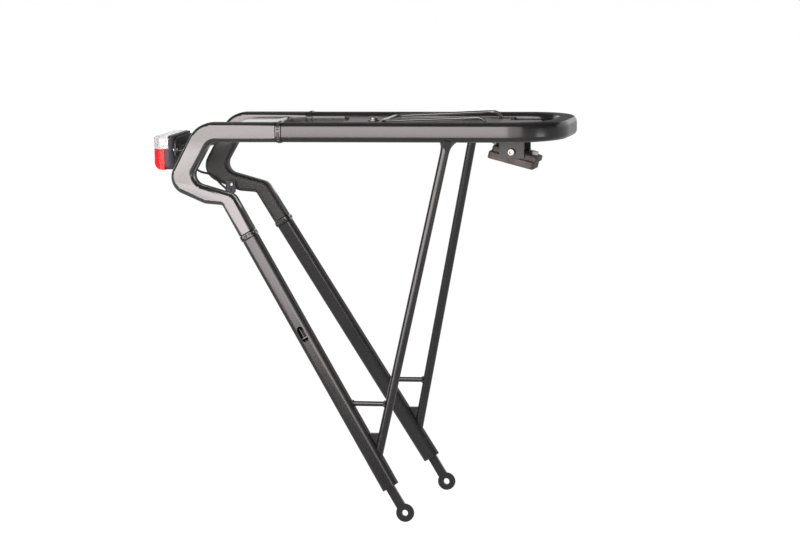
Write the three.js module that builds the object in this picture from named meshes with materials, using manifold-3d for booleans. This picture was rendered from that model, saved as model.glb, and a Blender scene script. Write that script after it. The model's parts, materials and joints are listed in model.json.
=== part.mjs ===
// Bicycle rear rack with a spring clamp, a tail light and a swivelling mudguard bracket.
// Units are millimetres. +X points to the front of the bicycle, +Y to its left side, +Z up.
// The origin is midway between the bolt holes of the two feet.

import * as THREE from 'three';
import { mergeVertices } from 'three/addons/utils/BufferGeometryUtils.js';
import Module from 'manifold-3d';

const wasm = await Module();
wasm.setup();

// ---------------------------------------------------------------- driving dimensions

const GAP = 0.3; // between pieces that touch
const SIDES = { right: -1, left: 1 }; // sign of Y on each side of the bicycle

const RAIL = { size: 17.2, round: 5, wall: 1.8, half: 56, z: 330.6, rear: -113, front: 137, bend: 40 };
const RAIL_TOP = RAIL.z + RAIL.size / 2;
const RAIL_BOTTOM = RAIL.z - RAIL.size / 2;
const BETWEEN = RAIL.half - RAIL.size / 2 - 0.4; // half the free width between the rails

const BEAD = { width: 5.4, proud: 0.6 }; // weld bead around a tube joint

const LEG = { size: 14, round: 4, wall: 1.5, lean: 0.5915, top: 240, end: 22 };
const FOOT = { half: 84, radius: 8, hole: 2.75, thickness: 3, neck: 8, inside: 32 };
const SPLAY_TOP = 285; // the legs start to spread below this height
const SPLAY = (FOOT.half - RAIL.half) / SPLAY_TOP;

// Strap slot in the leg's outer wall, and the pin across it.
const SLOT = { z: 154.7, length: 15, width: 6, pin: 1.5, pinDepth: 5 };

const STRUT = { radius: 4, topX: 36.4, lean: 0.2229 };
const JOINT_Z = (STRUT.lean * RAIL_BOTTOM - STRUT.topX) / (STRUT.lean + LEG.lean);
const ROD = { z: 94.3, radius: 2.25 }; // short pannier rod between leg and strut
const GUSSET = { low: 57, high: 69, thickness: 4 };

const SHEET = 2.5; // thickness of the cross plates
const REAR_PLATE = { rear: -161, front: -129, top: 336, lip: 10 };
const MIDDLE_PLATE = {
  rear: -80, waist: -66, front: -36, shoulder: 36, rest: -24, restHalf: 32, top: 336, screwX: -42,
};
const FRONT_PLATE = { rear: 44, waist: 56, front: 77, tip: 107, top: 335.5, tongueHalf: 15.5 };

const WIRE = {
  radius: 1.5, rearX: -28, rearHalf: 28, rearZ: 338, frontX: 66, frontHalf: 33, frontZ: 341.5, bend: 5,
};
const AXLE = { z: 327.5, radius: 2.5 };
AXLE.x = WIRE.frontX - AXLE.radius - GAP - WIRE.radius;
const SPRING = { wire: 0.8, turns: 3.5, pitch: 2, leg: 11, start: 19, clearance: 0.35 };

// Screw that carries the mudguard bracket, and the barrel around it.
const PIVOT = { x: 85.2, z: 310, radius: 2.5, barrel: 5, head: 3.4, headHeight: 2.8, length: 40 };
const LUG = { half: 11.2, thickness: 2.5, low: 304, round: 2 };
const BASE = {
  tilt: 15, half: 12.7, round: 3, edge: 0.6, upper: 5, upperRear: -18.4, upperFront: 23.4,
  lower: 6.6, lowerRear: -20.6, lowerFront: 21.6, boltDepth: 4.5,
};
const BASE_BOLTS = [-17.2, 16.6]; // places along the base, from the pivot

const LIGHT = {
  rear: -237.5, seam: -226, upperSeam: -222.5, front: -218, half: 31, bottom: 294.5, split: 313,
  top: 324.8, wall: 2, back: 2.5, corner: 7,
};
const STUD = { y: 25, z: 311.8, radius: 2.4, end: -207.5, head: 4, headHeight: 2, sunk: 4.8 };
// The lamp's plate, its web and the strip that is welded between the two rear bends.
const LAMP_PLATE = {
  thickness: 2, half: 30, low: 304, high: 323, webHalf: 18, webRear: 315.4,
  stripLow: [-191.4, 314.5], stripHigh: [-184.8, 326], stripHalf: 1.25,
};
const LEAD = { radius: 1, y: 8, z: 299.5 };

const M5 = 2.5; // radius of the shank of most screws
const M5_HOLE = M5 + GAP;
const FAR = 100; // reach of a cutting tool past any piece

// ---------------------------------------------------------------- finishes

const finish = (color, roughness, metalness) =>
  new THREE.MeshStandardMaterial({ color, roughness, metalness });
const BLACK_COAT = finish(0x17161a, 0.38, 0.1);
const WELD = finish(0x232228, 0.3, 0.1);
const SHEET_BLACK = finish(0x1c1b20, 0.25, 0.1);
const SPRING_BLACK = finish(0x2a282b, 0.32, 0.3);
const ZINC = finish(0xb9b6b0, 0.32, 0.9);
const BRACKET_GREY = finish(0x6d6560, 0.42, 0.35);
const BLACK_PLASTIC = finish(0x1d1d22, 0.5, 0);
const RED_LENS = finish(0xd8141c, 0.12, 0);
const CLEAR_LENS = finish(0xf0eeee, 0.08, 0);
const BOARD_GREEN = finish(0x1f5b3a, 0.6, 0);
const RUBBER = finish(0x141414, 0.8, 0);

// ---------------------------------------------------------------- geometry helpers

const vec = (x, y, z) => new THREE.Vector3(x, y, z);
const corner = (x, y, radius = 0) => ({ x, y, radius });
const degrees = THREE.MathUtils.degToRad;

// Closed outline through sharp corners, each rounded by an arc of its own radius.
function outline(corners) {
  const path = new THREE.Shape();
  corners.forEach((here, i) => {
    const at = new THREE.Vector2(here.x, here.y);
    const before = corners.at(i - 1);
    const after = corners[(i + 1) % corners.length];
    const back = new THREE.Vector2(before.x, before.y).sub(at).normalize();
    const on = new THREE.Vector2(after.x, after.y).sub(at).normalize();
    if (here.radius === 0) {
      if (i === 0) path.moveTo(at.x, at.y);
      else path.lineTo(at.x, at.y);
      return;
    }
    const half = Math.acos(THREE.MathUtils.clamp(back.dot(on), -1, 1)) / 2;
    const reach = here.radius / Math.tan(half);
    const centre = back.clone().add(on).normalize().multiplyScalar(here.radius / Math.sin(half)).add(at);
    const first = back.clone().multiplyScalar(reach).add(at).sub(centre);
    const last = on.clone().multiplyScalar(reach).add(at).sub(centre);
    const clockwise = on.cross(back) < 0;
    // The arc alone would drop a first corner that is sharp.
    if (i > 0) path.lineTo(centre.x + first.x, centre.y + first.y);
    path.absarc(centre.x, centre.y, here.radius, first.angle(), last.angle(), clockwise);
  });
  path.closePath();
  return path;
}

function rectangle(x0, y0, x1, y1, radius = 0) {
  return outline([
    corner(x0, y0, radius),
    corner(x1, y0, radius),
    corner(x1, y1, radius),
    corner(x0, y1, radius),
  ]);
}

const square = (size, round) => rectangle(-size / 2, -size / 2, size / 2, size / 2, round);

function disc(radius) {
  return new THREE.Shape().absarc(0, 0, radius, 0, 2 * Math.PI);
}

// Square tube section with an open bore.
function tubeSection({ size, round, wall }) {
  const section = square(size, round);
  section.holes.push(square(size - 2 * wall, round - wall));
  return section;
}

// Plate of the given outline, centred on z = 0, with its two faces' edges rounded.
function slab(shape, thickness, edge = 0, edgeSteps = 3, curveSegments = 4) {
  const depth = thickness - 2 * edge;
  const geometry = new THREE.ExtrudeGeometry(shape, {
    depth,
    bevelEnabled: edge > 0,
    bevelThickness: edge,
    bevelSize: edge,
    bevelOffset: -edge,
    bevelSegments: edgeSteps,
    curveSegments,
  });
  return geometry.translate(0, 0, -depth / 2);
}

// Turns a plate drawn in x and y so that its drawing's y points up.
const upright = (geometry) => geometry.rotateX(Math.PI / 2);

// Turns a plate drawn in x and y so that its drawing's x points along Y and its y points up.
const facing = (geometry) => geometry.rotateX(Math.PI / 2).rotateZ(Math.PI / 2);

const box = (x0, y0, z0, x1, y1, z1) =>
  new THREE.BoxGeometry(x1 - x0, y1 - y0, z1 - z0).translate((x0 + x1) / 2, (y0 + y1) / 2, (z0 + z1) / 2);

// Straight bar of the given section between two points; the section's x lies along `across`.
function beam(shape, from, to, across = vec(0, 1, 0), curveSegments = 3) {
  const along = to.clone().sub(from);
  const depth = along.length();
  const geometry = new THREE.ExtrudeGeometry(shape, { depth, bevelEnabled: false, curveSegments });
  along.normalize();
  const side = across.clone().addScaledVector(along, -across.dot(along)).normalize();
  const up = along.clone().cross(side);
  return geometry.applyMatrix4(new THREE.Matrix4().makeBasis(side, up, along).setPosition(from));
}

const roundBar = (from, to, radius, sides = 12) => beam(disc(radius), from, to, vec(1, 0, 0.01), sides / 2);

// Solid of revolution about a line from `at` along `axis`; the profile lists [radius, distance].
function turned(profile, at, axis, segments = 16) {
  const points = profile.map(([radius, distance]) => new THREE.Vector2(radius, distance));
  const spin = new THREE.Quaternion().setFromUnitVectors(vec(0, 1, 0), axis.clone().normalize());
  return new THREE.LatheGeometry(points, segments).applyQuaternion(spin).translate(at.x, at.y, at.z);
}

// Points of a path whose inner corners are arcs.
function roundedPath(points, radius, stepsPerCorner = 5) {
  const path = [points[0]];
  for (let i = 1; i < points.length - 1; i += 1) {
    const back = points[i - 1].clone().sub(points[i]).normalize();
    const on = points[i + 1].clone().sub(points[i]).normalize();
    const half = back.angleTo(on) / 2;
    const centre = back.clone().add(on).normalize().multiplyScalar(radius / Math.sin(half)).add(points[i]);
    const first = points[i].clone().addScaledVector(back, radius / Math.tan(half)).sub(centre).normalize();
    const last = points[i].clone().addScaledVector(on, radius / Math.tan(half)).sub(centre).normalize();
    const turn = first.angleTo(last);
    const tangent = last.clone().addScaledVector(first, -first.dot(last)).normalize();
    for (let step = 0; step <= stepsPerCorner; step += 1) {
      const angle = (turn * step) / stepsPerCorner;
      const spoke = first.clone().multiplyScalar(Math.cos(angle)).addScaledVector(tangent, Math.sin(angle));
      path.push(spoke.multiplyScalar(radius).add(centre));
    }
  }
  return [...path, points.at(-1)];
}

// Round wire through a list of points.
function wire(points, radius, steps, sides = 8) {
  const extrudePath = new THREE.CatmullRomCurve3(points, false, 'centripetal');
  return new THREE.ExtrudeGeometry(disc(radius), { steps, extrudePath, curveSegments: sides / 2 });
}

// A closed geometry as a solid that can be cut and joined.
function solid(geometry) {
  const bare = geometry.clone();
  bare.deleteAttribute('normal');
  bare.deleteAttribute('uv');
  const merged = mergeVertices(bare, 1e-3);
  const index = Array.from(merged.index.array);
  const kept = [];
  for (let i = 0; i < index.length; i += 3) {
    const [a, b, c] = index.slice(i, i + 3);
    if (a !== b && b !== c && c !== a) kept.push(a, b, c);
  }
  const vertProperties = new Float32Array(merged.attributes.position.array);
  return new wasm.Manifold(new wasm.Mesh({ numProp: 3, vertProperties, triVerts: new Uint32Array(kept) }));
}

function geometryOf(manifold) {
  const mesh = manifold.getMesh();
  const geometry = new THREE.BufferGeometry();
  geometry.setAttribute('position', new THREE.BufferAttribute(new Float32Array(mesh.vertProperties), 3));
  geometry.setIndex(new THREE.BufferAttribute(new Uint32Array(mesh.triVerts), 1));
  geometry.computeVertexNormals();
  return geometry;
}

const cut = (geometry, ...tools) =>
  geometryOf(tools.reduce((left, tool) => left.subtract(solid(tool)), solid(geometry)));
const join = (first, ...others) =>
  geometryOf(others.reduce((all, other) => all.add(solid(other)), solid(first)));
const common = (first, second) => geometryOf(solid(first).intersect(solid(second)));

const rack = new THREE.Group();

function piece(name, geometry, material) {
  const mesh = new THREE.Mesh(geometry, material);
  mesh.name = name;
  rack.add(mesh);
  return mesh;
}

// ---------------------------------------------------------------- frame lines

const SECTION_UP = vec(1, 0, LEG.lean).normalize(); // across the leg, in the side view
const legAxis = (z) => vec(-LEG.lean * z, 0, z);
const spread = (z) => RAIL.half + SPLAY * Math.max(0, SPLAY_TOP - z);

// Moves a piece drawn in the middle plane to its side, following the spread of the legs.
function splayed(geometry, side) {
  const position = geometry.attributes.position;
  for (let i = 0; i < position.count; i += 1) {
    position.setY(i, position.getY(i) + side * spread(position.getZ(i)));
  }
  geometry.computeVertexNormals();
  return geometry;
}

const legPoint = (side, z) => legAxis(z).setY(side * spread(z));

function strutPoint(side, z) {
  const down = (RAIL_BOTTOM - z) / (RAIL_BOTTOM - JOINT_Z);
  const y = THREE.MathUtils.lerp(RAIL.half, spread(JOINT_Z), down);
  return vec(STRUT.topX - STRUT.lean * (RAIL_BOTTOM - z), side * y, z);
}

// ---------------------------------------------------------------- top loop

function loopOutline(inset, rear) {
  const outer = RAIL.half + RAIL.size / 2 - inset;
  const inner = RAIL.half - RAIL.size / 2 + inset;
  const front = RAIL.front - inset;
  const bay = RAIL.front - RAIL.size + inset;
  const outerBend = RAIL.bend + RAIL.size / 2 - inset;
  const innerBend = RAIL.bend - RAIL.size / 2 + inset;
  return outline([
    corner(rear, -outer),
    corner(front, -outer, outerBend),
    corner(front, outer, outerBend),
    corner(rear, outer),
    corner(rear, inner),
    corner(bay, inner, innerBend),
    corner(bay, -inner, innerBend),
    corner(rear, -inner),
  ]);
}

function topLoop() {
  const start = RAIL.rear + BEAD.width / 2 + GAP;
  const spare = 3 * RAIL.size;
  const tube = slab(loopOutline(0, start - spare), RAIL.size, RAIL.round, 4, 10);
  const inside = loopOutline(RAIL.wall, start - 2 * spare);
  const bore = slab(inside, RAIL.size - 2 * RAIL.wall, RAIL.round - RAIL.wall, 2, 6);
  const behind = box(start - 3 * spare, -2 * RAIL.half, -RAIL.size, start, 2 * RAIL.half, RAIL.size);
  return cut(tube, bore, behind).translate(0, 0, RAIL.z);
}

piece('top_loop', topLoop(), BLACK_COAT);

// ---------------------------------------------------------------- rear bends

// Point on an edge of the leg: `across` is -1 on its rear edge and 1 on its front edge.
function legEdge(across, z) {
  const point = legAxis(z).addScaledVector(SECTION_UP, (across * LEG.size) / 2);
  return corner(point.x, point.z);
}

function rearBend(side) {
  const spare = 10;
  const ahead = RAIL.rear + spare;
  const below = LEG.top - 1.5 * spare;
  const zigzag = outline([
    corner(ahead, RAIL_TOP),
    corner(-187, RAIL_TOP, 23),
    corner(-218.3, 283.5, 15.5),
    corner(-181, 267.8, 18),
    corner(-165.2, 266.6, 3),
    legEdge(-1, below),
    legEdge(1, below),
    corner(-155, 275.8, 10),
    corner(-195.7, 287.2, 9),
    corner(-175.6, RAIL_BOTTOM, 9),
    corner(ahead, RAIL_BOTTOM),
  ]);
  const body = upright(slab(zigzag, RAIL.size, LEG.round, 3, 7));
  const trim = BEAD.width / 2 + GAP;
  const railEnd = box(RAIL.rear - trim, -RAIL.size, RAIL.z - RAIL.size, 0, RAIL.size, RAIL.z + RAIL.size);
  const down = legAxis(0).sub(legAxis(LEG.top)).normalize();
  const cutFrom = legAxis(LEG.top).addScaledVector(down, -trim);
  const legEnd = beam(square(3 * LEG.size, 0), cutFrom, cutFrom.clone().addScaledVector(down, 4 * spare));
  const bend = splayed(cut(body, railEnd, legEnd), side);
  return side === SIDES.left ? cut(bend, leadScrewHole()) : bend;
}

// ---------------------------------------------------------------- legs, feet, struts and rods

const roundSquare = (grow) => square(LEG.size + 2 * grow, LEG.round + grow);

function leg(side) {
  const down = legAxis(0).sub(legAxis(LEG.top)).normalize();
  const from = legAxis(LEG.top).addScaledVector(down, BEAD.width / 2 + GAP);
  const tube = beam(tubeSection(LEG), from, legAxis(LEG.end));
  const middle = legAxis(SLOT.z);
  const reach = down.clone().multiplyScalar(SLOT.length / 2 - SLOT.width / 2);
  const depth = vec(0, side * LEG.size, 0);
  const inside = vec(0, side * LEG.round, 0);
  const ends = [middle.clone().sub(reach), middle.clone().add(reach)].map((p) => p.add(inside));
  const rounds = ends.map((p) => beam(disc(SLOT.width / 2), p, p.clone().add(depth), down, 5));
  const slot = middle.clone().add(inside);
  const window = rectangle(-reach.length(), -SLOT.width / 2, reach.length(), SLOT.width / 2);
  return splayed(cut(tube, ...rounds, beam(window, slot, slot.clone().add(depth), down)), side);
}

function strapPin(side) {
  const down = legAxis(0).sub(legAxis(LEG.top)).normalize();
  const middle = legAxis(SLOT.z).addScaledVector(down, SLOT.length / 4);
  middle.y = side * (LEG.size / 2 - SLOT.pinDepth);
  const half = SECTION_UP.clone().multiplyScalar(LEG.size / 2 - LEG.wall - 2 * GAP);
  return splayed(roundBar(middle.clone().sub(half), middle.clone().add(half), SLOT.pin, 10), side);
}

function foot(side) {
  const up = legAxis(FOOT.inside);
  const neck = new THREE.Vector2(SECTION_UP.x, SECTION_UP.z).multiplyScalar(FOOT.neck / 2);
  const strap = outline([
    corner(-neck.x, -neck.y),
    corner(neck.x, neck.y),
    corner(up.x + neck.x, up.z + neck.y),
    corner(up.x - neck.x, up.z - neck.y),
  ]);
  const plate = join(slab(disc(FOOT.radius), FOOT.thickness, 0.5, 1, 12), slab(strap, FOOT.thickness));
  const drilled = cut(plate, slab(disc(FOOT.hole), 2 * FOOT.thickness, 0, 1, 10));
  return upright(drilled).translate(0, side * FOOT.half, 0);
}

// The space a leg fills, grown by the gap, for cutting what meets it.
const legSpace = (side) => splayed(beam(roundSquare(GAP), legAxis(LEG.top), legAxis(LEG.end)), side);

function strut(side) {
  const middle = side * RAIL.half;
  const railSpace = box(-FAR, middle - RAIL.size, RAIL_BOTTOM - GAP, FAR, middle + RAIL.size, RAIL_TOP);
  const bar = roundBar(strutPoint(side, JOINT_Z), strutPoint(side, RAIL.z), STRUT.radius, 16);
  return cut(bar, railSpace, legSpace(side));
}

const strutSpace = (side) =>
  roundBar(strutPoint(side, JOINT_Z), strutPoint(side, RAIL_BOTTOM), STRUT.radius + GAP, 16);

function pannierRod(side) {
  const bar = roundBar(legPoint(side, ROD.z), strutPoint(side, ROD.z), ROD.radius, 12);
  return cut(bar, legSpace(side), strutSpace(side));
}

// Small web that fills the crotch between strut and leg.
function gusset(side) {
  const low = [legPoint(side, GUSSET.low), strutPoint(side, GUSSET.low)];
  const high = [legPoint(side, GUSSET.high), strutPoint(side, GUSSET.high)];
  const web = outline([
    corner(low[0].x, low[0].z),
    corner(low[1].x, low[1].z),
    corner(high[1].x, high[1].z),
    corner(high[0].x, high[0].z),
  ]);
  const y = (low[0].y + low[1].y + high[0].y + high[1].y) / 4;
  const plate = upright(slab(web, GUSSET.thickness)).translate(0, y, 0);
  return cut(plate, legSpace(side), strutSpace(side));
}

// ---------------------------------------------------------------- weld beads

function bead(section, at, along) {
  const ring = slab(section, BEAD.width, BEAD.proud, 1, 2);
  const across = vec(0, 1, 0);
  const forward = along.clone().normalize();
  const up = forward.clone().cross(across);
  return ring.applyMatrix4(new THREE.Matrix4().makeBasis(across, up, forward)).translate(at.x, at.y, at.z);
}

function railBead(side) {
  const size = RAIL.size + 2 * BEAD.proud;
  return bead(square(size, RAIL.round + BEAD.proud), vec(RAIL.rear, side * RAIL.half, RAIL.z), vec(1, 0, 0));
}

const legBead = (side) =>
  splayed(bead(roundSquare(BEAD.proud), legAxis(LEG.top), legAxis(0).sub(legAxis(LEG.top))), side);

// ---------------------------------------------------------------- cross plates

// Upright hole for an M5 screw through the cross plates and what lies under them.
const drill = (x, y) => roundBar(vec(x, y, RAIL_BOTTOM), vec(x, y, RAIL_TOP), M5_HOLE, 12);

function rearPlate() {
  const { rear, front, top, lip } = REAR_PLATE;
  const bottom = top - SHEET;
  const profile = outline([
    corner(rear, bottom),
    corner(front - SHEET, bottom, 1),
    corner(front - SHEET, top - lip),
    corner(front, top - lip),
    corner(front, top, 1 + SHEET),
    corner(rear, top),
  ]);
  return upright(slab(profile, 2 * BETWEEN));
}

function middlePlate() {
  const { rear, waist, front, shoulder, rest, restHalf, top, screwX } = MIDDLE_PLATE;
  const half = [[front, BETWEEN], [front, shoulder], [rest, restHalf]];
  const shape = new THREE.Shape().moveTo(rear, -BETWEEN);
  half.forEach(([x, y]) => shape.lineTo(x, -y));
  half.toReversed().forEach(([x, y]) => shape.lineTo(x, y));
  shape.lineTo(rear, BETWEEN).quadraticCurveTo(2 * waist - rear, 0, rear, -BETWEEN);
  const sheet = slab(shape, SHEET, 0, 1, 6).translate(0, 0, top - SHEET / 2);
  return cut(sheet, drill(screwX, 0));
}

const pivotHole = () =>
  roundBar(vec(PIVOT.x, -FAR, PIVOT.z), vec(PIVOT.x, FAR, PIVOT.z), PIVOT.radius + GAP, 14);

const NOTCH = { rear: 57, low: 28.5, high: 37.5 }; // room for the clamp wire to swing

function frontPlate() {
  const { rear, waist, front, tip, top, tongueHalf } = FRONT_PLATE;
  const half = [
    [front, BETWEEN],
    [front, NOTCH.high],
    [NOTCH.rear, NOTCH.high],
    [NOTCH.rear, NOTCH.low],
    [front, NOTCH.low],
    [front, tongueHalf],
    [tip, tongueHalf],
  ];
  const shape = new THREE.Shape().moveTo(rear, -BETWEEN);
  half.forEach(([x, y]) => shape.lineTo(x, -y));
  half.toReversed().forEach(([x, y]) => shape.lineTo(x, y));
  shape.lineTo(rear, BETWEEN).quadraticCurveTo(2 * waist - rear, 0, rear, -BETWEEN);
  const sheet = slab(shape, SHEET, 0, 1, 6).translate(0, 0, top - SHEET / 2);
  const lug = rectangle(PIVOT.x - LUG.half, LUG.low, PIVOT.x + LUG.half, top - SHEET / 2, LUG.round);
  const lugs = [-1, 1].map((side) =>
    upright(slab(lug, LUG.thickness, 0, 1, 3)).translate(0, side * (tongueHalf - LUG.thickness / 2), 0));
  return cut(join(sheet, ...lugs), pivotHole());
}

// ---------------------------------------------------------------- screws, washers and nuts

function polygon(sides, radius) {
  const rim = [];
  for (let i = 0; i < sides; i += 1) {
    const angle = (2 * Math.PI * i) / sides;
    rim.push(corner(radius * Math.cos(angle), radius * Math.sin(angle)));
  }
  return outline(rim);
}

// Profile of a screw: a head with a rounded rim, then the shank.
const headed = (head, height, shank, length) => [
  [0, 0], [head * 0.8, 0], [head, height * 0.35], [head, height],
  [shank, height], [shank, length], [0, length],
];

// Socket-head screw: `at` is the top of the head, `axis` points along the shank.
function screw(at, axis, head, height, shank, length, socket = head * 0.5) {
  const blank = turned(headed(head, height, shank, length), at, axis, 16);
  const along = axis.clone().normalize();
  const mouth = at.clone().addScaledVector(along, -1);
  const across = Math.abs(along.y) > 0.5 ? vec(1, 0, 0) : vec(0, 1, 0);
  const bottom = mouth.clone().addScaledVector(along, 1 + height * 0.6);
  return cut(blank, beam(polygon(6, socket), mouth, bottom, across));
}

function ringPart(sides, radius, bore, at, axis, thickness) {
  const shape = polygon(sides, radius);
  shape.holes.push(new THREE.Path().absarc(0, 0, bore, 0, 2 * Math.PI));
  const along = axis.clone().normalize();
  const across = Math.abs(along.y) > 0.5 ? vec(1, 0, 0) : vec(0, 1, 0);
  return beam(shape, at, at.clone().addScaledVector(along, thickness), across, 6);
}

const NUT_RADIUS = 4.6;
const NUT_HEIGHT = 4;
const WASHER = { radius: 5, thickness: 1 };

const nut = (at, axis, bore) => ringPart(6, NUT_RADIUS, bore, at, axis, NUT_HEIGHT);
const washer = (at, axis, bore) => ringPart(18, WASHER.radius, bore, at, axis, WASHER.thickness);
const HEAD = { radius: 3.9, height: 1.8 };
const AHEAD = vec(1, 0, 0);
const LEFT = vec(0, 1, 0);
const DOWN = vec(0, 0, -1);

// ---------------------------------------------------------------- spring clamp

function clampWire() {
  const hook = (side) => {
    const points = [];
    const reach = AXLE.radius + GAP + WIRE.radius;
    for (let step = 0; step <= 8; step += 1) {
      const angle = degrees(-step * 30);
      const [x, z] = [AXLE.x + reach * Math.cos(angle), AXLE.z + reach * Math.sin(angle)];
      points.push(vec(x, side * WIRE.frontHalf, z));
    }
    return points;
  };
  const rise = (side) => [
    vec(WIRE.frontX, side * WIRE.frontHalf, AXLE.z),
    vec(WIRE.frontX, side * WIRE.frontHalf, WIRE.frontZ),
    vec(WIRE.rearX, side * WIRE.rearHalf, WIRE.rearZ),
  ];
  const bow = roundedPath([...rise(-1), ...rise(1).toReversed()], WIRE.bend, 4).slice(1, -1);
  return wire([...hook(-1).toReversed(), ...bow, ...hook(1)], WIRE.radius, 96, 8);
}

// Torsion spring around the axle, with one leg that bears on the front plate.
function clampSpring(side) {
  const reach = AXLE.radius + SPRING.clearance + SPRING.wire;
  const points = [vec(AXLE.x - SPRING.leg, side * SPRING.start, AXLE.z + reach)];
  const steps = SPRING.turns * 12;
  for (let step = 0; step <= steps; step += 1) {
    const angle = Math.PI / 2 - (2 * Math.PI * step) / 12;
    const y = side * (SPRING.start + (SPRING.pitch * step) / 12);
    points.push(vec(AXLE.x + reach * Math.cos(angle), y, AXLE.z + reach * Math.sin(angle)));
  }
  return wire(points, SPRING.wire, 48, 6);
}

// ---------------------------------------------------------------- mudguard bracket

const TILT = degrees(BASE.tilt);
const BASE_TOP = 0.8; // the base's upper face above the pivot, measured across the base

// Places a piece drawn in the base's own frame: x along the base, z across it, pivot at the origin.
const onBase = (geometry) => geometry.rotateY(TILT).translate(PIVOT.x, 0, PIVOT.z);
const BASE_DOWN = DOWN.clone().applyAxisAngle(vec(0, 1, 0), TILT);
const basePoint = (x, z) => vec(x, 0, z).applyAxisAngle(vec(0, 1, 0), TILT).add(vec(PIVOT.x, 0, PIVOT.z));

function baseUpper() {
  const shape = rectangle(BASE.upperRear, -BASE.half, BASE.upperFront, BASE.half, BASE.round);
  const plate = slab(shape, BASE.upper, BASE.edge, 1, 3).translate(0, 0, BASE_TOP - BASE.upper / 2);
  const barrel = roundBar(vec(0, -BASE.half, 0), vec(0, BASE.half, 0), PIVOT.barrel, 20);
  const trim = box(-FAR, -FAR, -FAR, FAR, FAR, BASE_TOP - BASE.upper);
  const holes = BASE_BOLTS.map((x) => roundBar(vec(x, 0, -FAR), vec(x, 0, FAR), M5_HOLE, 12));
  return cut(onBase(cut(join(plate, cut(barrel, trim)), ...holes)), pivotHole());
}

function baseLower() {
  const top = BASE_TOP - BASE.upper - GAP;
  const shape = rectangle(BASE.lowerRear, -BASE.half, BASE.lowerFront, BASE.half, BASE.round);
  const plate = slab(shape, BASE.lower, BASE.edge, 1, 3).translate(0, 0, top - BASE.lower / 2);
  const holes = BASE_BOLTS.map((x) => roundBar(vec(x, 0, top - BASE.boltDepth), vec(x, 0, FAR), M5_HOLE, 12));
  return onBase(cut(plate, ...holes));
}

function baseBolt(x) {
  const height = 3;
  const length = height + BASE.upper + BASE.boltDepth - GAP;
  const top = basePoint(x, BASE_TOP + GAP + height);
  const head = beam(polygon(6, NUT_RADIUS), top, top.clone().addScaledVector(BASE_DOWN, height));
  const shank = roundBar(top, top.clone().addScaledVector(BASE_DOWN, length), M5, 14);
  return join(head, shank);
}

// ---------------------------------------------------------------- tail light

// The lamp's outer form, shrunk by `inset`, between two places along X.
function lampForm(rear, front, inset) {
  const half = LIGHT.half - inset;
  const past = front + 12; // clear of the rounded corners
  const plan = rectangle(rear, -half, past, half, 8 - inset);
  const side = outline([
    corner(rear, LIGHT.bottom + inset, 9 - inset),
    corner(past, LIGHT.bottom + inset),
    corner(past, LIGHT.top - inset),
    corner(rear, LIGHT.top - inset, 4 - inset),
  ]);
  const form = common(
    slab(plan, LIGHT.half).translate(0, 0, (LIGHT.bottom + LIGHT.top) / 2),
    upright(slab(side, 2 * LIGHT.half)),
  );
  return cut(form, box(front, -FAR, 0, front + FAR, FAR, RAIL_TOP));
}

function lens(low, high, seam) {
  const outer = lampForm(LIGHT.rear, seam - GAP, 0);
  const shell = cut(outer, lampForm(LIGHT.rear + LIGHT.wall, seam + 1, LIGHT.wall));
  return common(shell, box(LIGHT.rear - 1, -FAR, low, LIGHT.front, FAR, high));
}

const studHoles = () => [-STUD.y, STUD.y].map((y) =>
  roundBar(vec(LIGHT.front - 5, y, STUD.z), vec(LIGHT.front + 5, y, STUD.z), STUD.radius + GAP, 12));

function lampHousing() {
  const { half, bottom, split, top, wall, seam, upperSeam, front, back } = LIGHT;
  const whole = rectangle(-half, bottom, half, top, 5);
  const hollow = rectangle(-half + wall, bottom + wall, half - wall, top - wall, 3);
  const depth = front - seam;
  const plan = slab(rectangle(seam - depth, -half, front, half, LIGHT.corner), 2 * half, 0, 1, 5);
  const blank = facing(slab(whole, depth, 0, 1, 3)).translate(seam + depth / 2, 0, 0);
  const body = common(blank, plan.translate(0, 0, (bottom + top) / 2));
  const cavity = facing(slab(hollow, depth, 0, 1, 3)).translate(seam + depth / 2 - back, 0, 0);
  const cable = roundBar(vec(front - 5, LEAD.y, LEAD.z), vec(front + 5, LEAD.y, LEAD.z), 2.5, 12);
  const aboveLens = box(seam - 1, -FAR, split, upperSeam, FAR, RAIL_TOP);
  return cut(body, cavity, aboveLens, ...studHoles(), cable);
}

function lampBracket() {
  const { thickness, half, low, high, webHalf, webRear, stripLow, stripHigh, stripHalf } = LAMP_PLATE;
  const back = LIGHT.front + GAP;
  const seat = outline([
    corner(-half, low, 4),
    corner(half, low, 4),
    corner(half, high, 9),
    corner(-half, high, 9),
  ]);
  const plate = facing(slab(seat, thickness)).translate(back + thickness / 2, 0, 0);
  const foot = new THREE.Vector2(...stripLow);
  const head = new THREE.Vector2(...stripHigh);
  const along = head.clone().sub(foot).normalize();
  const across = new THREE.Vector2(along.y, -along.x).multiplyScalar(stripHalf);
  const strip = outline([
    corner(foot.x - across.x, foot.y - across.y),
    corner(foot.x + across.x, foot.y + across.y),
    corner(head.x + across.x, head.y + across.y),
    corner(head.x - across.x, head.y - across.y),
  ]);
  const web = outline([
    corner(back + 0.5, webRear - thickness),
    corner(foot.x + across.x, foot.y + across.y),
    corner(foot.x + thickness * along.x, foot.y + thickness * along.y),
    corner(back + 0.5, webRear),
  ]);
  const bar = upright(slab(strip, 2 * BETWEEN));
  return cut(join(plate, bar, upright(slab(web, 2 * webHalf))), ...studHoles());
}

function stud(side) {
  const { head, headHeight, radius, sunk } = STUD;
  const start = LIGHT.front - sunk;
  const length = STUD.end - start;
  const headEnd = [[0, 0], [head, 0], [head, headHeight]];
  const profile = [...headEnd, [radius, headHeight], [radius, length], [0, length]];
  return turned(profile, vec(start, side * STUD.y, STUD.z), vec(1, 0, 0), 14);
}

// ---------------------------------------------------------------- light lead

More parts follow.
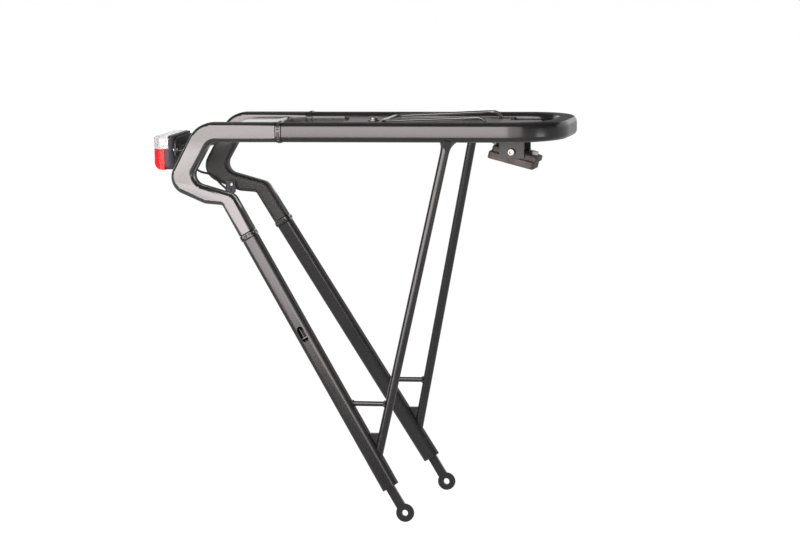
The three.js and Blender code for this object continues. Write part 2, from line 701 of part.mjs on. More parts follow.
// The lead leaves the lamp, crosses to the left bend and follows its inner face down.
const LEAD_ROUTE = [
  vec(-221, 8, 299.5),
  vec(-218, 8, 299.5),
  vec(-214.3, 8, 299.5),
  vec(-211.8, 8.6, 297.4),
  vec(-209.6, 12, 292),
  vec(-207.6, 18, 288.6),
  vec(-205.8, 25, 286.8),
  vec(-204.2, 33, 285.2),
  vec(-203, 40, 283.4),
  vec(-201.4, 44.2, 280.6),
  vec(-198.8, 45.9, 277.2),
  vec(-195.6, 46.2, 273.8),
  vec(-192, 46.2, 270.6),
  vec(-188.8, 46, 267.2),
  vec(-186.4, 46, 263.4),
  vec(-184.9, 46, 259.4),
];
const CLIP = { x: -189.2, z: 267.5, width: 5, thickness: 1.5, screwX: -185.6, screwZ: 274.4, hole: 1.3 };
const INNER_FACE = RAIL.half - RAIL.size / 2; // the left bend's face towards the wheel

const leadPath = (radius, steps) => wire(LEAD_ROUTE, radius, steps, 8);

const leadScrewHole = () =>
  roundBar(vec(CLIP.screwX, 0, CLIP.screwZ), vec(CLIP.screwX, INNER_FACE + 6, CLIP.screwZ), CLIP.hole, 10);

function leadClip() {
  const holder = box(CLIP.x - CLIP.width / 2, 44, CLIP.z - 3, CLIP.x + CLIP.width / 2, 48.2, CLIP.z + 3);
  const tab = rectangle(CLIP.x - CLIP.width / 2, CLIP.z - 1, CLIP.screwX + 3, CLIP.screwZ + 3, 1.5);
  const y = INNER_FACE - GAP - 0.4 - CLIP.thickness / 2;
  const plate = upright(slab(tab, CLIP.thickness, 0, 1, 3)).translate(0, y, 0);
  return cut(join(holder, plate), leadPath(LEAD.radius + GAP, 40), leadScrewHole());
}

function connector() {
  const at = LEAD_ROUTE.at(-1);
  const along = vec(0.36, 0, -0.93);
  const from = at.clone().addScaledVector(along, GAP);
  const profile = [[0, 0], [1.9, 0], [2.6, 2.5], [3.3, 3], [3.3, 12], [2.5, 12.6], [2.5, 15], [0, 15]];
  return turned(profile, from, along, 14);
}

// ---------------------------------------------------------------- assembly

for (const [name, side] of Object.entries(SIDES)) {
  piece(`rear_bend_${name}`, rearBend(side), BLACK_COAT);
  piece(`leg_${name}`, leg(side), BLACK_COAT);
  piece(`foot_${name}`, foot(side), BLACK_COAT);
  piece(`strap_pin_${name}`, strapPin(side), ZINC);
  piece(`strut_${name}`, strut(side), BLACK_COAT);
  piece(`pannier_rod_${name}`, pannierRod(side), BLACK_COAT);
  piece(`gusset_${name}`, gusset(side), BLACK_COAT);
  piece(`rail_bead_${name}`, railBead(side), WELD);
  piece(`leg_bead_${name}`, legBead(side), WELD);
  piece(`clamp_spring_${name}`, clampSpring(side), ZINC);
  piece(`light_stud_${name}`, stud(side), ZINC);
  const seat = vec(LIGHT.front + 2 * GAP + LAMP_PLATE.thickness, side * STUD.y, STUD.z);
  piece(`light_washer_${name}`, washer(seat, AHEAD, STUD.radius + GAP), BLACK_COAT);
  const behindNut = seat.clone().addScaledVector(AHEAD, WASHER.thickness + GAP);
  piece(`light_nut_${name}`, nut(behindNut, AHEAD, STUD.radius + GAP), BLACK_COAT);
}

piece('rear_plate', rearPlate(), SHEET_BLACK);
piece('middle_plate', middlePlate(), SHEET_BLACK);
piece('front_plate', frontPlate(), SHEET_BLACK);

const middleHole = (z) => vec(MIDDLE_PLATE.screwX, 0, z);
const onWasher = MIDDLE_PLATE.top + GAP + WASHER.thickness;
const middleScrew = screw(middleHole(onWasher + GAP + HEAD.height), DOWN, HEAD.radius, HEAD.height, M5, 13);
piece('middle_screw', middleScrew, ZINC);
piece('middle_washer', washer(middleHole(onWasher), DOWN, M5_HOLE), ZINC);
piece('middle_nut', nut(middleHole(MIDDLE_PLATE.top - SHEET - GAP), DOWN, M5_HOLE), ZINC);

piece('clamp_wire', clampWire(), SPRING_BLACK);
const axleEnd = (side) => vec(AXLE.x, side * BETWEEN, AXLE.z);
piece('clamp_axle', roundBar(axleEnd(SIDES.right), axleEnd(SIDES.left), AXLE.radius, 16), SPRING_BLACK);

piece('mudguard_base_upper', baseUpper(), BRACKET_GREY);
piece('mudguard_base_lower', baseLower(), BRACKET_GREY);
piece('mudguard_bolt_rear', baseBolt(BASE_BOLTS[0]), ZINC);
piece('mudguard_bolt_front', baseBolt(BASE_BOLTS[1]), ZINC);
const outside = FRONT_PLATE.tongueHalf + GAP;
const { head: pivotHead, headHeight: pivotHeight, length: pivotLength } = PIVOT;
const pivotStart = vec(PIVOT.x, -outside - pivotHeight, PIVOT.z);
piece('pivot_screw', screw(pivotStart, LEFT, pivotHead, pivotHeight, PIVOT.radius, pivotLength), ZINC);
piece('pivot_washer', washer(vec(PIVOT.x, outside, PIVOT.z), LEFT, M5_HOLE), ZINC);
piece('pivot_nut', nut(vec(PIVOT.x, outside + WASHER.thickness + GAP, PIVOT.z), LEFT, M5_HOLE), ZINC);

piece('light_bracket', lampBracket(), BLACK_COAT);
piece('light_housing', lampHousing(), BLACK_PLASTIC);
piece('light_lens_red', lens(LIGHT.bottom - 1, LIGHT.split, LIGHT.seam), RED_LENS);
piece('light_lens_clear', lens(LIGHT.split + GAP, LIGHT.top + 1, LIGHT.upperSeam), CLEAR_LENS);
piece('light_board', box(-224.8, -23, 300, -223.4, 23, 320), BOARD_GREEN);

const grommetProfile = [[1.5, 0], [2.2, 0], [2.2, 3], [3.6, 3.1], [3.6, 4.4], [2, 6], [1.5, 6], [1.5, 0]];
piece('light_grommet', turned(grommetProfile, vec(LIGHT.front - 2.8, LEAD.y, LEAD.z), AHEAD, 14), RUBBER);
piece('light_lead', leadPath(LEAD.radius, 44), RUBBER);
piece('lead_clip', leadClip(), BLACK_PLASTIC);
const clipHead = vec(CLIP.screwX, INNER_FACE - 4, CLIP.screwZ);
piece('lead_clip_screw', turned(headed(1.6, 1.1, 1, 7.5), clipHead, LEFT, 12), ZINC);
piece('lead_connector', connector(), BLACK_PLASTIC);

export default rack;
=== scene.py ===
# %% [markdown]
# # A bicycle's rear rack
# This notebook dresses a finished frame of plain parts as a real rear rack: black coated tubes,
# weld beads, bright screws, a tail light and a grey mudguard bracket. Everything is in metres.
# +X points to the front of the bicycle, +Y to its left side and +Z up. The origin is midway
# between the bolt holes of the two feet.

# %% Load the frame
import math

import bmesh
import bpy
from mathutils import Matrix, Vector
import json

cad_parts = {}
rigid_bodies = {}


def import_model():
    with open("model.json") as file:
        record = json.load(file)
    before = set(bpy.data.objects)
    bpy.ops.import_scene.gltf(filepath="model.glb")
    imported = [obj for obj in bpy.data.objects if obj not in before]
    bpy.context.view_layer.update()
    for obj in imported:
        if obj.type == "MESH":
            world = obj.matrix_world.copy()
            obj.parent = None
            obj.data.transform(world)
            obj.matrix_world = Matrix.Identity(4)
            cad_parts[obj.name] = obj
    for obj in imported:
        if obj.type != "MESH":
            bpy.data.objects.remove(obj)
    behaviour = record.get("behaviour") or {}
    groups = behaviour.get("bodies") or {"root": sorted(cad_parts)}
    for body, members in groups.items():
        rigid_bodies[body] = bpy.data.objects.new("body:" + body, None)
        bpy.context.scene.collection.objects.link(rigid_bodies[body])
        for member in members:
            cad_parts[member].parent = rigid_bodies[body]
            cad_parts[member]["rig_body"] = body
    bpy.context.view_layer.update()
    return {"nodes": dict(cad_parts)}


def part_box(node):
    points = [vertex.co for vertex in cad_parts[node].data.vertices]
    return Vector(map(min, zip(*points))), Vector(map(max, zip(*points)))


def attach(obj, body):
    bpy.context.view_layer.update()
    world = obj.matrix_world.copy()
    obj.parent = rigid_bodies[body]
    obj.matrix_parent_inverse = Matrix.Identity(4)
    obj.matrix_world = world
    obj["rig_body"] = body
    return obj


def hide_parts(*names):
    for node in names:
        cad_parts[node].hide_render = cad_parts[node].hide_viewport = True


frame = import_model()
scene = bpy.context.scene

MM = 0.001


def mm(*values):
    """A point given in millimetres, as a vector in metres."""
    return Vector(values) * MM


# %% [markdown]
# ## Camera
# A long lens from far away keeps the rails nearly parallel, so that their lengths can be compared.
# The camera stands at the rack's right side, a little towards its front and a little above it. Its
# place is given by the point it looks at, the direction it stands in, and its distance.

# %% Camera
AIM = mm(-27.1, 28.3, 202.5)
AZIMUTH, ELEVATION, ROLL = (math.radians(angle) for angle in (13.19, 6.64, -1.02))
DISTANCE = 3.856
SENSOR, FOCAL = 36.0, 194.1

camera_data = bpy.data.cameras.new("long_lens")
camera_data.sensor_width = SENSOR
camera_data.lens = FOCAL
camera_data.clip_end = 200.0
camera = bpy.data.objects.new("camera", camera_data)
turn = Matrix.Rotation(AZIMUTH, 4, "Z") @ Matrix.Rotation(math.pi / 2 - ELEVATION, 4, "X")
turn = turn @ Matrix.Rotation(ROLL, 4, "Z")
away = Matrix.Translation((0.0, 0.0, DISTANCE))
camera.matrix_world = Matrix.Translation(AIM) @ turn @ away
scene.collection.objects.link(camera)
scene.camera = camera
print("camera at", [round(c, 3) for c in camera.matrix_world.translation])

# %% [markdown]
# ## Shader maths
# A material is a graph of nodes, which is hard to read as a list of links. The class below wraps
# one socket, so that arithmetic on it can be written as an ordinary expression. Every other node
# comes from its one method `node`, which takes the node's type, its settings and its inputs.


# %% A socket with arithmetic
class Flow:
    """One output socket of a material's tree, used like a number or a colour."""

    def __init__(self, tree, socket=None):
        self.tree = tree
        self.socket = socket

    def node(self, kind, settings=None, output=0, **inputs):
        """Adds a node; inputs are named by socket, with _ for a space, or in_0, in_1 by place."""
        made = self.tree.nodes.new("ShaderNode" + kind)
        for key, value in (settings or {}).items():
            setattr(made, key, value)
        for key, value in inputs.items():
            place = int(key[3:]) if key.startswith("in_") else key.replace("_", " ")
            socket = made.inputs[place]
            if isinstance(value, Flow):
                self.tree.links.new(value.socket, socket)
            else:
                socket.default_value = value
        return Flow(self.tree, made.outputs[output])

    def math(self, operation, *values):
        names = {f"in_{i}": value for i, value in enumerate(values)}
        return self.node("Math", {"operation": operation}, **names)

    def __add__(self, other):
        return self.math("ADD", self, other)

    def __sub__(self, other):
        return self.math("SUBTRACT", self, other)

    def __rsub__(self, other):
        return self.math("SUBTRACT", other, self)

    def __mul__(self, other):
        return self.math("MULTIPLY", self, other)

    def __pow__(self, other):
        return self.math("POWER", self, other)

    __radd__ = __add__

    def window(self, low, high):
        """0 below low, 1 above high and a soft step between them."""
        settings = {"interpolation_type": "SMOOTHSTEP"}
        return self.node("MapRange", settings, Value=self, From_Min=low, From_Max=high)

    def between(self, first, second):
        """The colour between two colours, with this value as the share of the second."""
        # A Mix node has sockets for every type: its colours are inputs 6 and 7 and output 2.
        settings = {"data_type": "RGBA"}
        return self.node("Mix", settings, 2, in_0=self, in_6=first, in_7=second)


# %% [markdown]
# ## Coated and plated surfaces
# No surface is one flat colour. Each recipe starts from the object's own coordinates, so a pattern
# has a real size: noise at 900 per metre is a grain of about a millimetre. Large, slow noise varies
# the colour and the gloss, and fine noise feeds a bump of a few hundredths of a millimetre.


# %% Start of a material
def surface(name, constants):
    """A new material with its constant sockets set; returns it with its shader and a Flow."""
    material = bpy.data.materials.new(name)
    material.use_nodes = True
    tree = material.node_tree
    shader = tree.nodes["Principled BSDF"]
    for socket, value in constants.items():
        shader.inputs[socket].default_value = value
    return material, shader, Flow(tree)


def place_on_object(flow):
    return flow.node("TexCoord", output="Object")


def split(flow, where):
    """The X, Y and Z of a place."""
    axes = flow.node("SeparateXYZ", Vector=where).socket.node.outputs
    return [Flow(flow.tree, axis) for axis in axes]


def noise(flow, where, scale, detail=2.0, roughness=0.5):
    return flow.node("TexNoise", Vector=where, Scale=scale, Detail=detail, Roughness=roughness)


def tone(colour, share):
    """A colour made darker or lighter by a factor, with the alpha that a socket wants."""
    return tuple(c * share for c in colour) + (1.0,)


def connect(shader, **links):
    """Links flows to the shader's sockets; an underscore stands for a space."""
    for socket, flow in links.items():
        flow.tree.links.new(flow.socket, shader.inputs[socket.replace("_", " ")])


def bump(flow, height, strength=1.0):
    """A bent normal; height is in millimetres."""
    return flow.node("Bump", Height=height, Distance=MM, Strength=strength)


# %% [markdown]
# ## Black coating and its worn places
# The frame is coated black: powder melts into a skin with a slight orange peel, and a thin clear
# coat lies over it. Bags rub the rails' tops dull, and the wheel sprays what faces it. One recipe
# makes every coated piece. The dull places are found from a point's height and distance, because a
# painted mask would need an unwrapped surface.

# %% Where the frame is worn
LEG_LEAN = 0.5915  # how far a leg runs back for each unit it rises
RUBBED = (337.8 * MM, 338.6 * MM)  # heights between which a rail's rounded top begins
LEG_FRONT = (5.0 * MM, 5.8 * MM)  # how far ahead of a leg's axis its forward side begins
LEG_END = (262.0 * MM, 268.0 * MM)  # heights between which the leg turns into the bend
PLATFORM = (308.0 * MM, 320.0 * MM)  # heights between which the platform begins
CLEAR_FADES = (312.0 * MM, 326.0 * MM)  # heights over which the bends' clear coat thins out
WORN_ROUGHNESS = 0.38  # what wear adds to the roughness


def worn_zones(flow, where, matt_within, thin):
    """How dull a coating is and how much of its clear coat is left, each from 0 to 1.

    It is dull on the rails' tops, where bags rub it, on the legs' forward sides, which the
    wheel sprays, and under the platform nearer to the plane y = 0 than matt_within, in
    metres. thin is how much of the clear coat is missing at the platform's height."""
    onward, sideways, upward = split(flow, where)
    across = (onward + upward * LEG_LEAN) * (1.0 / math.hypot(1.0, LEG_LEAN))
    sprayed = across.window(*LEG_FRONT) * (1.0 - upward.window(*LEG_END))
    dull = upward.window(*RUBBED) + sprayed
    if matt_within:
        square = matt_within**2
        inside = 1.0 - (sideways * sideways).window(square * 0.95, square)
        dull = dull + inside * (1.0 - upward.window(*PLATFORM)) * (1.0 - sprayed)
    return dull, 1.0 - upward.window(*CLEAR_FADES) * thin


print("dull above", RUBBED[0], "m and ahead of the legs' axes by", LEG_FRONT[0], "m")


# %% Black coating
def black_coat(name, colour, gloss, peel, grain, coat, shine=0.5, zones=None):
    """Black coating on metal: orange peel and a fine grain, with slow changes of gloss.

    gloss is the roughness, peel and grain are heights in millimetres. zones, if given, are
    the last two values of worn_zones."""
    constants = {"Coat Weight": coat, "Coat Roughness": 0.16, "Specular IOR Level": shine}
    material, shader, flow = surface(name, constants)
    where = place_on_object(flow)
    slow = noise(flow, where, 18.0, 3.0)
    waves = noise(flow, where, 420.0, 1.0)
    dust = noise(flow, where, 2600.0, 2.0).window(0.62, 0.8)
    coating = slow.window(0.3, 0.7).between(tone(colour, 0.8), tone(colour, 1.25))
    speck = tuple(c * 3.0 + 0.03 for c in colour) + (1.0,)
    base = (dust * 0.12).between(coating, speck)
    height = waves * peel + noise(flow, where, 1800.0, 2.0) * grain
    rough = gloss + (slow - 0.5) * 0.08 + dust * 0.06
    if zones:
        dull, clear = worn_zones(flow, where, *zones)
        rough = rough + dull * WORN_ROUGHNESS
        connect(shader, Coat_Weight=(1.0 - dull) * clear * coat)
    connect(shader, Base_Color=base, Roughness=rough, Normal=bump(flow, height))
    return material


FRAME_COLOUR, DULL_COLOUR = (0.0095, 0.0088, 0.0098), (0.012, 0.011, 0.013)
LEG_ZONES = (0.0, 0.0)  # nothing is matt towards the wheel, and all the clear coat is left
BEND_ZONES = (59.5 * MM, 0.7)  # matt inside this distance, and most of the clear coat gone
FRAME_BLACK = black_coat("frame_black", FRAME_COLOUR, 0.24, 0.014, 0.003, 0.35)
WORN_BLACK = black_coat("worn_black", FRAME_COLOUR, 0.24, 0.014, 0.003, 0.35, zones=LEG_ZONES)
CAST_BLACK = black_coat("cast_black", FRAME_COLOUR, 0.2, 0.016, 0.003, 1.0, 0.8, BEND_ZONES)
SATIN_BLACK = black_coat("satin_black", DULL_COLOUR, 0.5, 0.01, 0.01, 0.0, 0.4)
WELD_BLACK = black_coat("weld_black", DULL_COLOUR, 0.2, 0.03, 0.006, 0.5)
SHEET_BLACK = black_coat("sheet_black", (0.011, 0.0105, 0.012), 0.12, 0.008, 0.001, 1.0, 1.0)
PLATE_BLACK = black_coat("plate_black", (0.02, 0.018, 0.018), 0.42, 0.01, 0.006, 0.0, 0.6)
WIRE_BLACK = black_coat("spring_wire", (0.018, 0.017, 0.018), 0.2, 0.012, 0.004, 0.8, 0.7)
print("coated frame:", FRAME_BLACK.name, WORN_BLACK.name, CAST_BLACK.name)
print("sheet and wire:", SHEET_BLACK.name, PLATE_BLACK.name, WIRE_BLACK.name)

# %% [markdown]
# ## Zinc plate and grey casting
# Screws and pins are steel under zinc, a metal with a cloudy shine, so their shader is fully
# metallic. The same recipe makes, by one factor, a lighter copy that paints extra light onto the
# mudguard bolts and a darker copy that paints the shade of their slots onto the strap pins. The
# mudguard bracket is a rough grey casting whose high spots are rubbed lighter.


# %% Zinc plate
def zinc_plate(name, share):
    """Zinc of a given brightness: fine turning marks, cloudy, with a hint of yellow and blue."""
    # share scales the zinc's colour: above 1 it paints in light, below 1 it paints in shade.
    material, shader, flow = surface(name, {"Metallic": 1.0, "Specular IOR Level": 0.5})
    where = place_on_object(flow)
    cloud = noise(flow, where, 260.0, 3.0)
    tint = noise(flow, where, 120.0, 1.0).window(0.35, 0.65)
    cool, warm = tone((0.44, 0.44, 0.45), share), tone((0.5, 0.47, 0.42), share)
    stain = tone((0.24, 0.23, 0.22), share)
    base = (cloud.window(0.58, 0.75) * 0.5).between(tint.between(cool, warm), stain)
    height = noise(flow, where, 3000.0, 1.0) * 0.006
    connect(shader, Base_Color=base, Roughness=0.3 + cloud * 0.2, Normal=bump(flow, height))
    return material


ZINC = zinc_plate("zinc", 1.0)
# A lighter copy of the zinc: painted light for the mudguard bolts.
LIT_ZINC = zinc_plate("bright_zinc", 1.5)
# A darker copy of the zinc: painted shade for the strap pins, which sit in the shade of their
# slots.
SHADED_ZINC = zinc_plate("dirty_zinc", 0.25)
print("zinc plates:", ZINC.name, LIT_ZINC.name, SHADED_ZINC.name)


# %% Cast grey alloy
def cast_alloy():
    """Warm dark grey casting with a tumbled grain and lighter, rubbed high spots."""
    material, shader, flow = surface("bracket_grey", {"Metallic": 0.3, "Specular IOR Level": 0.3})
    where = place_on_object(flow)
    grain = noise(flow, where, 1500.0, 3.0, 0.6)
    slow = noise(flow, where, 90.0, 2.0)
    deep, high = (0.062, 0.054, 0.05, 1.0), (0.11, 0.097, 0.09, 1.0)
    rubbed = (0.3, 0.28, 0.265, 1.0)
    skin = slow.window(0.3, 0.7).between(deep, high)
    base = (grain.window(0.6, 0.78) * 0.3).between(skin, rubbed)
    rough = 0.44 + grain * 0.14
    connect(shader, Base_Color=base, Roughness=rough, Normal=bump(flow, grain * 0.03))
    return material


BRACKET_GREY = cast_alloy()
print("casting:", BRACKET_GREY.name)

# %% [markdown]
# ## Plastics, lenses, rubber and circuit board
# The light is made of grained black plastic with a red and a clear lens. A real lens has small
# prisms cast on its inside. They could be modelled, but they are far too small to be seen one by
# one, so crossed sine waves vary the lens's colour, gloss and bump instead.


# %% Plastics, lenses, rubber and circuit board
def moulded(name, colour, gloss, grain, scale):
    """Moulded plastic or rubber with the even, fine texture of its mould.

    gloss is the roughness, grain a height in millimetres and scale its number per metre."""
    material, shader, flow = surface(name, {"Specular IOR Level": 0.45})
    where = place_on_object(flow)
    spark = noise(flow, where, scale, 2.0, 0.55)
    slow = noise(flow, where, 60.0, 2.0)
    base = (slow * 0.5 + spark * 0.5).between(tone(colour, 0.8), tone(colour, 1.3))
    rough = gloss + spark * 0.1
    connect(shader, Base_Color=base, Roughness=rough, Normal=bump(flow, spark * grain))
    return material


BLACK_PLASTIC = moulded("black_plastic", (0.036, 0.034, 0.044), 0.5, 0.03, 1400.0)
RUBBER = moulded("rubber", (0.018, 0.018, 0.018), 0.62, 0.02, 1100.0)
WHITE_PLASTIC = moulded("reflector_white", (0.8, 0.8, 0.8), 0.25, 0.01, 900.0)


def lens_plastic(name, colour, deep, transmission, shine, pitch, height):
    """Clear coloured plastic whose inner face is cast with rows of small prisms.

    deep is the colour between the prisms, pitch their spacing in metres and height their
    height in millimetres."""
    constants = {"IOR": 1.49, "Transmission Weight": transmission, "Specular IOR Level": shine}
    material, shader, flow = surface(name, constants)
    where = place_on_object(flow)
    _, across, upward = split(flow, where)
    turn = 2 * math.pi / pitch
    ridges = flow.math("SINE", across * turn) * flow.math("SINE", upward * turn)
    rows = (ridges * 0.5 + 0.5) ** 1.5
    base = (1.0 - rows).between(tone(colour, 1.0), tone(deep, 1.0))
    rough = 0.07 + rows * 0.1
    connect(shader, Base_Color=base, Roughness=rough, Normal=bump(flow, rows * height, 0.6))
    return material


RED, DEEP_RED = (0.85, 0.022, 0.024), (0.5, 0.004, 0.008)
CLEAR, DEEP_CLEAR = (0.9, 0.88, 0.88), (0.66, 0.65, 0.67)
RED_LENS = lens_plastic("red_lens", RED, DEEP_RED, 0.2, 0.14, 2.6 * MM, 0.05)
CLEAR_LENS = lens_plastic("clear_lens", CLEAR, DEEP_CLEAR, 0.7, 0.4, 3.6 * MM, 0.04)


def circuit_board():
    """Green solder mask with copper tracks just under it."""
    material, shader, flow = surface("board_green", {"Specular IOR Level": 0.5})
    where = place_on_object(flow)
    tracks = flow.node("TexBrick", {"offset": 0.5}, 1, Vector=where, Scale=260.0, Mortar_Size=0.08)
    mask, copper = (0.012, 0.09, 0.04, 1.0), (0.03, 0.2, 0.08, 1.0)
    blotch = noise(flow, where, 500.0)
    connect(shader, Base_Color=tracks.between(mask, copper), Roughness=0.35 + blotch * 0.2,
            Normal=bump(flow, tracks * 0.03))
    return material


BOARD_GREEN = circuit_board()
print("materials:", len(bpy.data.materials))

# %% [markdown]
# ## Smooth copies of the frame's pieces
# The frame's meshes are loose triangles. A copy is merged and shaded smooth up to an angle, so a
# rounded tube looks round while its flat sides stay flat. Sheet metal also gets a narrow bevel,
# because no real edge is perfectly sharp, and it is the bevel that catches the light.


# %% Copies with smooth shading
def finish_piece(piece, body, material):
    """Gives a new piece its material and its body."""
    piece.data.materials.clear()
    piece.data.materials.append(material)
    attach(piece, body)


def polish(mesh, angle):
    """Smooth shading, with edges sharper than the angle kept crisp."""
    mesh.shade_smooth()
    mesh.set_sharp_from_angle(angle=math.radians(angle))


def weighted(piece):
    """Flat faces keep their own normals; only the rounded parts between them bend the light."""
    modifier = piece.modifiers.new("even_shading", "WEIGHTED_NORMAL")
    modifier.keep_sharp = True


def smooth_copy(node, material, angle, bevel):
    """A merged copy of a node that stands for it, with smooth shading and a fine bevel.

    angle is in degrees and bevel in millimetres, 0 for none."""
    source = frame["nodes"][node]
    mesh = source.data.copy()
    mesh.name = node + "_skin"
    build = bmesh.new()
    build.from_mesh(mesh)
    bmesh.ops.remove_doubles(build, verts=build.verts, dist=0.005 * MM)
    flat = math.radians(1.0)
    bmesh.ops.dissolve_limit(build, angle_limit=flat, verts=build.verts, edges=build.edges)
    build.to_mesh(mesh)
    build.free()
    for attribute in ("custom_normal", "sharp_face"):
        if attribute in mesh.attributes:
            mesh.attributes.remove(mesh.attributes[attribute])
    polish(mesh, angle)
    piece = bpy.data.objects.new(node + "_skin", mesh)
    scene.collection.objects.link(piece)
    if bevel:
        modifier = piece.modifiers.new("broken_edges", "BEVEL")
        modifier.width = bevel * MM
        modifier.segments = 2
        modifier.limit_method = "ANGLE"
        modifier.angle_limit = math.radians(50.0)
    weighted(piece)
    finish_piece(piece, source["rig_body"], material)
    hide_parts(node)


SIDES = {"right": -1, "left": 1}

# %% One copy for each node
# Each entry holds the material, the slot, the angle of crisp edges and the width of the bevel.
skins = {}
for side in SIDES:
    skins[f"rear_bend_{side}"] = (CAST_BLACK, "frame_black", 40.0, 0.0)
    skins[f"leg_{side}"] = (WORN_BLACK, "frame_black", 40.0, 0.0)
    skins[f"foot_{side}"] = (FRAME_BLACK, "frame_black", 30.0, 0.3)
    skins[f"strut_{side}"] = (FRAME_BLACK, "frame_black", 40.0, 0.0)
    skins[f"pannier_rod_{side}"] = (FRAME_BLACK, "frame_black", 40.0, 0.0)
    skins[f"gusset_{side}"] = (FRAME_BLACK, "frame_black", 30.0, 0.5)
    skins[f"rail_bead_{side}"] = (WELD_BLACK, "weld_black", 60.0, 0.0)
    skins[f"leg_bead_{side}"] = (WELD_BLACK, "weld_black", 60.0, 0.0)
    # The strap pins wear the darker zinc copy, which paints the shade of their slots onto them.
    skins[f"strap_pin_{side}"] = (SHADED_ZINC, "zinc", 40.0, 0.0)
    skins[f"light_stud_{side}"] = (ZINC, "zinc", 40.0, 0.2)
    skins[f"light_washer_{side}"] = (FRAME_BLACK, "frame_black", 40.0, 0.1)
    skins[f"light_nut_{side}"] = (FRAME_BLACK, "frame_black", 30.0, 0.3)
skins |= {
    "top_loop": (WORN_BLACK, "frame_black", 40.0, 0.0),
    "rear_plate": (SHEET_BLACK, "sheet_black", 35.0, 0.35),
    "middle_plate": (PLATE_BLACK, "sheet_black", 35.0, 0.35),
    "front_plate": (PLATE_BLACK, "sheet_black", 35.0, 0.35),
    "middle_screw": (ZINC, "zinc", 30.0, 0.15),
    "middle_washer": (ZINC, "zinc", 30.0, 0.12),
    "middle_nut": (ZINC, "zinc", 30.0, 0.3),
    "clamp_wire": (WIRE_BLACK, "spring_wire", 60.0, 0.0),
    "clamp_axle": (WIRE_BLACK, "spring_wire", 40.0, 0.2),
    "mudguard_base_upper": (BRACKET_GREY, "bracket_grey", 30.0, 0.3),
    "mudguard_base_lower": (BRACKET_GREY, "bracket_grey", 30.0, 0.3),
    # The mudguard bolts wear the lighter zinc copy, which paints extra light onto them.
    "mudguard_bolt_rear": (LIT_ZINC, "zinc", 30.0, 0.3),
    "mudguard_bolt_front": (LIT_ZINC, "zinc", 30.0, 0.3),
    "pivot_screw": (ZINC, "zinc", 30.0, 0.2),
    "pivot_washer": (ZINC, "zinc", 30.0, 0.12),
    "pivot_nut": (ZINC, "zinc", 30.0, 0.3),
    "light_bracket": (SATIN_BLACK, "frame_black", 35.0, 0.3),
    "light_housing": (BLACK_PLASTIC, "black_plastic", 35.0, 0.4),
    "light_lens_red": (RED_LENS, "red_lens", 35.0, 0.15),
    "light_lens_clear": (CLEAR_LENS, "clear_lens", 35.0, 0.15),
    "light_board": (BOARD_GREEN, "board_green", 30.0, 0.1),
    "light_grommet": (RUBBER, "rubber", 35.0, 0.2),
    "light_lead": (RUBBER, "rubber", 60.0, 0.0),
    "lead_clip": (BLACK_PLASTIC, "black_plastic", 35.0, 0.2),
    "lead_clip_screw": (ZINC, "zinc", 30.0, 0.15),
    "lead_connector": (BLACK_PLASTIC, "black_plastic", 40.0, 0.2),
}
for node, (material, slot, angle, bevel) in skins.items():
    smooth_copy(node, material, angle, bevel)
print("smooth copies:", len(skins))

# %% [markdown]
# ## Geometry Nodes helpers
# What repeats is grown by a node tree with named inputs, because a number can then be changed in
# one place. `new_tree` makes a tree with its sockets and `grow` adds a node to it. `grown` runs the
# tree on a mesh of points or lines, keeps the result as a plain mesh and gives it its body.


# %% Growing a piece from a tree
def new_tree(name, sizes):
    """An empty Geometry Nodes tree with a geometry input and output and named number inputs."""
    tree = bpy.data.node_groups.new(name, "GeometryNodeTree")
    tree.interface.new_socket("Geometry", in_out="INPUT", socket_type="NodeSocketGeometry")
    for label, (kind, value) in sizes.items():
        socket = tree.interface.new_socket(label, in_out="INPUT", socket_type="NodeSocket" + kind)
        if value is not None:
            socket.default_value = value
    tree.interface.new_socket("Geometry", in_out="OUTPUT", socket_type="NodeSocketGeometry")
    return tree, tree.nodes.new("NodeGroupInput"), tree.nodes.new("NodeGroupOutput")


def grow(tree, kind, settings=None, **inputs):
    """Adds a node to a tree; an input is a value or an output socket."""
    made = tree.nodes.new(kind)
    for key, value in (settings or {}).items():
        setattr(made, key, value)
    for key, value in inputs.items():
        socket = made.inputs[int(key[3:]) if key.startswith("in_") else key.replace("_", " ")]
        if isinstance(value, bpy.types.NodeSocket):
            tree.links.new(value, socket)
        else:
            socket.default_value = value
    return made


def line_mesh(name, paths):
    """A mesh of bare edges along lists of points; a path is (points, closed)."""
    points, edges = [], []
    for path, closed in paths:
        first = len(points)
        points += [tuple(p) for p in path]
        edges += [(first + i, first + i + 1) for i in range(len(path) - 1)]
        if closed:
            edges.append((first + len(path) - 1, first))
    mesh = bpy.data.meshes.new(name)
    mesh.from_pydata(points, edges, [])
    return mesh


def grown(name, tree, start, values, body, material, angle):
    """Runs the tree on a start mesh and keeps what it makes as a plain mesh."""
    start_object = bpy.data.objects.new(name + "_start", start)
    scene.collection.objects.link(start_object)
    modifier = start_object.modifiers.new(name, "NODES")
    modifier.node_group = tree
    values = dict(values, Material=material)
    for item in tree.interface.items_tree:
        if item.in_out == "INPUT" and item.name in values:
            modifier[item.identifier] = values[item.name]
    evaluated = start_object.evaluated_get(bpy.context.evaluated_depsgraph_get())
    mesh = bpy.data.meshes.new_from_object(evaluated)
    bpy.data.objects.remove(start_object)
    mesh.name = name
    polish(mesh, angle)
    piece = bpy.data.objects.new(name, mesh)
    scene.collection.objects.link(piece)
    finish_piece(piece, body, material)
    print(name, "faces:", len(mesh.polygons))
    return piece


# %% [markdown]
# ## Weld ripples
# A weld bead is a row of small overlapping pools of metal. Each pool is a flattened ball, placed at
# even steps along the joint, with its flat side across the path. The same tree serves a ring around
# a tube, a ring around a rod and a straight seam, because only the path and the sizes change.


